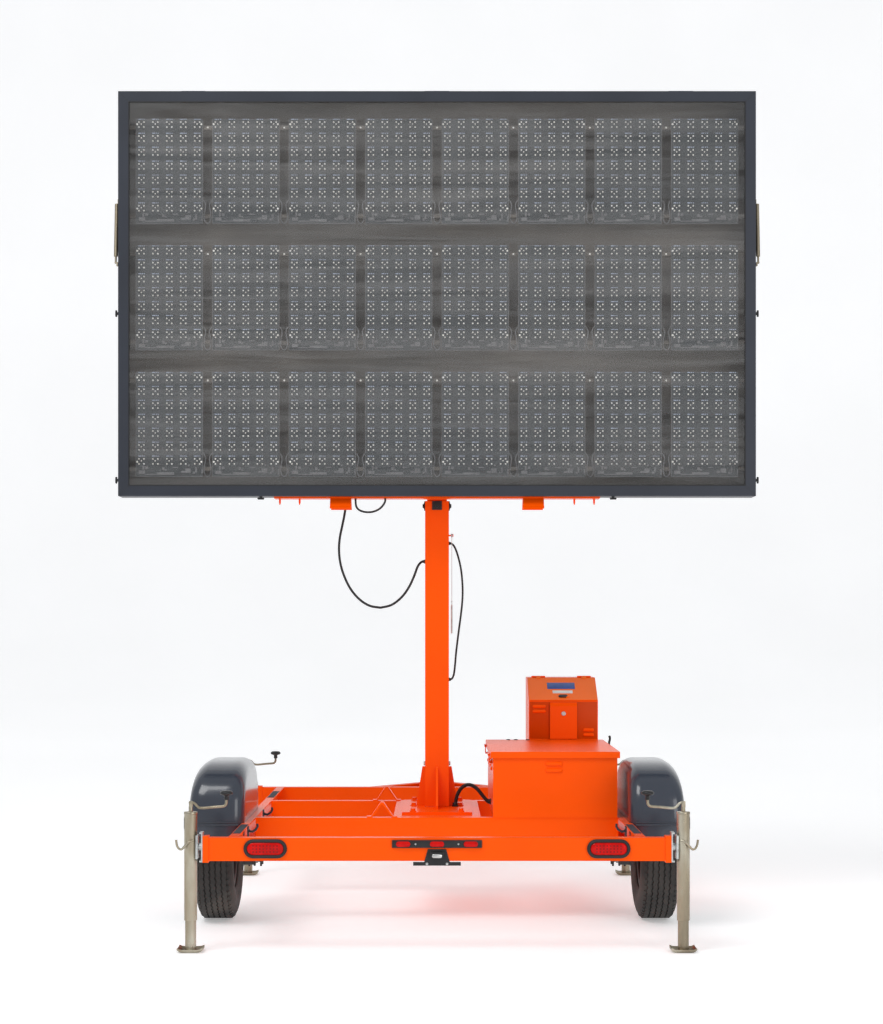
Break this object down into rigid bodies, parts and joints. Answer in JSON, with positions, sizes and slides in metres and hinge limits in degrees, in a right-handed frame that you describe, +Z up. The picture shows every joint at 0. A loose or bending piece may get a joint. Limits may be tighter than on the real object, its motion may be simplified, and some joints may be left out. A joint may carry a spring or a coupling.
{
  "type": "portable changeable message sign trailer",
  "caption": "Towable road sign: a windowed matrix display on a telescoping mast, on a steel trailer with jacks, wheels, battery box and control cabinet.",
  "frame": {"origin": "on the ground, midway between the rear feet and the coupler, on the centre line", "axes": "+Z up, +Y towards the tow coupler, +X towards the battery box; the display faces -Y"},
  "size_m": [3.179, 4.1135, 4.064],
  "materials": {
    "orange_paint": "gloss",
    "zinc_plate": "satin",
    "black_frame_paint": "satin",
    "charcoal_aluminium": "satin",
    "black_plastic": "matte",
    "slate_plastic": "gloss",
    "board_green": "matte",
    "window_glass": "clear",
    "red_lens": "gloss",
    "battery_case": "matte",
    "tyre_rubber": "matte",
    "grey_aluminium": "satin",
    "cable_rubber": "matte",
    "steel": "satin"
  },
  "bodies": {
    "frame": {"rear_beam": "orange_paint", "front_beam": "orange_paint", "crossmembers": "orange_paint", "side_rails": "orange_paint", "floor_plates": "orange_paint", "deck_fittings": "black_plastic", "rest_cradles": "orange_paint", "mast_base": "orange_paint", "mast_outer": "orange_paint", "mast_pads": "black_plastic", "lift_cylinder": "steel", "axle": "black_frame_paint", "leaf_springs": "black_frame_paint", "fenders": "slate_plastic", "rear_lights": "red_lens", "plate_bracket": "black_plastic", "battery_box": "orange_paint", "batteries": "battery_case", "control_cabinet": "orange_paint", "control_unit": "grey_aluminium", "tongue": "orange_paint", "tongue_braces": "orange_paint", "coupler": "black_frame_paint", "jack_mounts": "zinc_plate", "mast_cables": "cable_rubber"},
    "mast": {"mast_inner": "orange_paint"},
    "display": {"display_case": "charcoal_aluminium", "display_boards": "board_green", "display_beam": "orange_paint", "display_spine": "orange_paint", "display_cable": "cable_rubber"},
    "door": {"display_door": "charcoal_aluminium", "door_glass": "window_glass"},
    "strut_tubes": {"strut_tubes": "zinc_plate"},
    "strut_rods": {"strut_rods": "zinc_plate"},
    "wheel_left": {"wheel_left": "tyre_rubber"},
    "wheel_right": {"wheel_right": "tyre_rubber"},
    "battery_lid": {"battery_lid": "orange_paint"},
    "lid_latch": {"lid_latch": "black_plastic"},
    "cabinet_flap": {"cabinet_flap": "orange_paint"},
    "coupler_latch": {"coupler_latch": "zinc_plate"},
    "lock_pin": {"lock_pin": "zinc_plate"},
    "knob_upper_left": {"knob_upper_left": "black_plastic"},
    "knob_upper_right": {"knob_upper_right": "black_plastic"},
    "knob_lower_left": {"knob_lower_left": "black_plastic"},
    "knob_lower_right": {"knob_lower_right": "black_plastic"},
    "knob_bottom_left": {"knob_bottom_left": "black_plastic"},
    "knob_bottom_right": {"knob_bottom_right": "black_plastic"},
    "jack_tube_1": {"jack_tube_1": "zinc_plate"},
    "jack_leg_1": {"jack_leg_1": "zinc_plate"},
    "jack_crank_1": {"jack_crank_1": "zinc_plate"},
    "jack_tube_2": {"jack_tube_2": "zinc_plate"},
    "jack_leg_2": {"jack_leg_2": "zinc_plate"},
    "jack_crank_2": {"jack_crank_2": "zinc_plate"},
    "jack_tube_3": {"jack_tube_3": "zinc_plate"},
    "jack_leg_3": {"jack_leg_3": "zinc_plate"},
    "jack_crank_3": {"jack_crank_3": "zinc_plate"},
    "jack_tube_4": {"jack_tube_4": "zinc_plate"},
    "jack_leg_4": {"jack_leg_4": "zinc_plate"},
    "jack_crank_4": {"jack_crank_4": "zinc_plate"}
  },
  "joints": [
    {"name": "mast_lift", "type": "slide", "parent": "frame", "child": "mast", "axis": [0, 0, 1], "range_m": [-1.15, 0], "deforming": ["display_cable"]},
    {"name": "display_turn", "type": "hinge", "parent": "mast", "child": "display", "pos_m": [0, -0.57875, 3.532], "axis": [0, 0, -1], "range_deg": [-90, 90], "deforming": ["display_cable"]},
    {"name": "display_door", "type": "hinge", "parent": "display", "child": "door", "pos_m": [0, -0.8789, 4.0585], "axis": [-1, 0, 0], "range_deg": [0, 35]},
    {"name": "strut_turn", "type": "hinge", "parent": "display", "child": "strut_tubes", "pos_m": [0, -0.85875, 3.5235], "axis": [-1, 0, 0], "range_deg": [0, 67.21]},
    {"name": "strut_slide", "type": "slide", "parent": "strut_tubes", "child": "strut_rods", "axis": [0, -0.1252, -0.9921], "range_m": [0, 0.22751]},
    {"name": "knob_upper_left_turn", "type": "hinge", "parent": "door", "child": "knob_upper_left", "pos_m": [-1.565, -0.89905, 2.964], "axis": [-1, 0, 0], "range_deg": [0, 90]},
    {"name": "knob_upper_right_turn", "type": "hinge", "parent": "door", "child": "knob_upper_right", "pos_m": [1.565, -0.89905, 2.964], "axis": [1, 0, 0], "range_deg": [0, 90]},
    {"name": "knob_lower_left_turn", "type": "hinge", "parent": "door", "child": "knob_lower_left", "pos_m": [-1.565, -0.89905, 2.145], "axis": [-1, 0, 0], "range_deg": [0, 90]},
    {"name": "knob_lower_right_turn", "type": "hinge", "parent": "door", "child": "knob_lower_right", "pos_m": [1.565, -0.89905, 2.145], "axis": [1, 0, 0], "range_deg": [0, 90]},
    {"name": "knob_bottom_left_turn", "type": "hinge", "parent": "door", "child": "knob_bottom_left", "pos_m": [-0.866, -0.89905, 2.066], "axis": [0, 0, -1], "range_deg": [0, 90]},
    {"name": "knob_bottom_right_turn", "type": "hinge", "parent": "door", "child": "knob_bottom_right", "pos_m": [0.866, -0.89905, 2.066], "axis": [0, 0, -1], "range_deg": [0, 90]},
    {"name": "wheel_left_spin", "type": "hinge", "parent": "frame", "child": "wheel_left", "pos_m": [-1.062, -0.96425, 0.35], "axis": [1, 0, 0], "continuous": true},
    {"name": "wheel_right_spin", "type": "hinge", "parent": "frame", "child": "wheel_right", "pos_m": [1.062, -0.96425, 0.35], "axis": [1, 0, 0], "continuous": true},
    {"name": "jack_swivel_1", "type": "hinge", "parent": "frame", "child": "jack_tube_1", "pos_m": [-1.082, -1.99875, 0.461], "axis": [1, 0, 0], "range_deg": [0, 90]},
    {"name": "jack_leg_slide_1", "type": "slide", "parent": "jack_tube_1", "child": "jack_leg_1", "axis": [0, 0, 1], "range_m": [-0.25, 0.1]},
    {"name": "jack_crank_turn_1", "type": "hinge", "parent": "jack_tube_1", "child": "jack_crank_1", "pos_m": [-1.082, -1.99875, 0.653], "axis": [0, 0, 1], "continuous": true},
    {"name": "jack_swivel_2", "type": "hinge", "parent": "frame", "child": "jack_tube_2", "pos_m": [1.082, -1.99875, 0.461], "axis": [1, 0, 0], "range_deg": [0, 90]},
    {"name": "jack_leg_slide_2", "type": "slide", "parent": "jack_tube_2", "child": "jack_leg_2", "axis": [0, 0, 1], "range_m": [-0.25, 0.1]},
    {"name": "jack_crank_turn_2", "type": "hinge", "parent": "jack_tube_2", "child": "jack_crank_2", "pos_m": [1.082, -1.99875, 0.653], "axis": [0, 0, 1], "continuous": true},
    {"name": "jack_swivel_3", "type": "hinge", "parent": "frame", "child": "jack_tube_3", "pos_m": [-1.082, 0.81125, 0.461], "axis": [-1, 0, 0], "range_deg": [0, 90]},
    {"name": "jack_leg_slide_3", "type": "slide", "parent": "jack_tube_3", "child": "jack_leg_3", "axis": [0, 0, 1], "range_m": [-0.25, 0.1]},
    {"name": "jack_crank_turn_3", "type": "hinge", "parent": "jack_tube_3", "child": "jack_crank_3", "pos_m": [-1.082, 0.81125, 0.653], "axis": [0, 0, 1], "continuous": true},
    {"name": "jack_swivel_4", "type": "hinge", "parent": "frame", "child": "jack_tube_4", "pos_m": [1.082, 0.81125, 0.461], "axis": [-1, 0, 0], "range_deg": [0, 90]},
    {"name": "jack_leg_slide_4", "type": "slide", "parent": "jack_tube_4", "child": "jack_leg_4", "axis": [0, 0, 1], "range_m": [-0.25, 0.1]},
    {"name": "jack_crank_turn_4", "type": "hinge", "parent": "jack_tube_4", "child": "jack_crank_4", "pos_m": [1.082, 0.81125, 0.653], "axis": [0, 0, 1], "continuous": true},
    {"name": "battery_lid_hinge", "type": "hinge", "parent": "frame", "child": "battery_lid", "pos_m": [0.253, -0.56725, 0.8], "axis": [0, -1, 0], "range_deg": [0, 80]},
    {"name": "lid_latch_turn", "type": "hinge", "parent": "frame", "child": "lid_latch", "pos_m": [0.884, -0.27025, 0.732], "axis": [0, 1, 0], "range_deg": [0, 90]},
    {"name": "cabinet_flap_hinge", "type": "hinge", "parent": "frame", "child": "cabinet_flap", "pos_m": [0.674, 0.18375, 1.151], "axis": [-1, 0, 0], "range_deg": [0, 80]},
    {"name": "coupler_latch_turn", "type": "hinge", "parent": "frame", "child": "coupler_latch", "pos_m": [0, 1.94275, 0.51], "axis": [-1, 0, 0], "range_deg": [0, 70]},
    {"name": "lock_pin_swing", "type": "hinge", "parent": "frame", "child": "lock_pin", "pos_m": [0.075, -0.61075, 1.885], "axis": [-1, 0, 0], "range_deg": [-15, 30]}
  ],
  "couplings": [
    {"joint": "strut_turn", "follows": "display_door", "ratio": 1.906},
    {"joint": "strut_slide", "follows": "display_door", "m_per_rad": 0.37162},
    {"joint": "jack_crank_turn_1", "follows": "jack_leg_slide_1", "rad_per_m": 1047.2},
    {"joint": "jack_crank_turn_2", "follows": "jack_leg_slide_2", "rad_per_m": 1047.2},
    {"joint": "jack_crank_turn_3", "follows": "jack_leg_slide_3", "rad_per_m": 1047.2},
    {"joint": "jack_crank_turn_4", "follows": "jack_leg_slide_4", "rad_per_m": 1047.2}
  ]
}
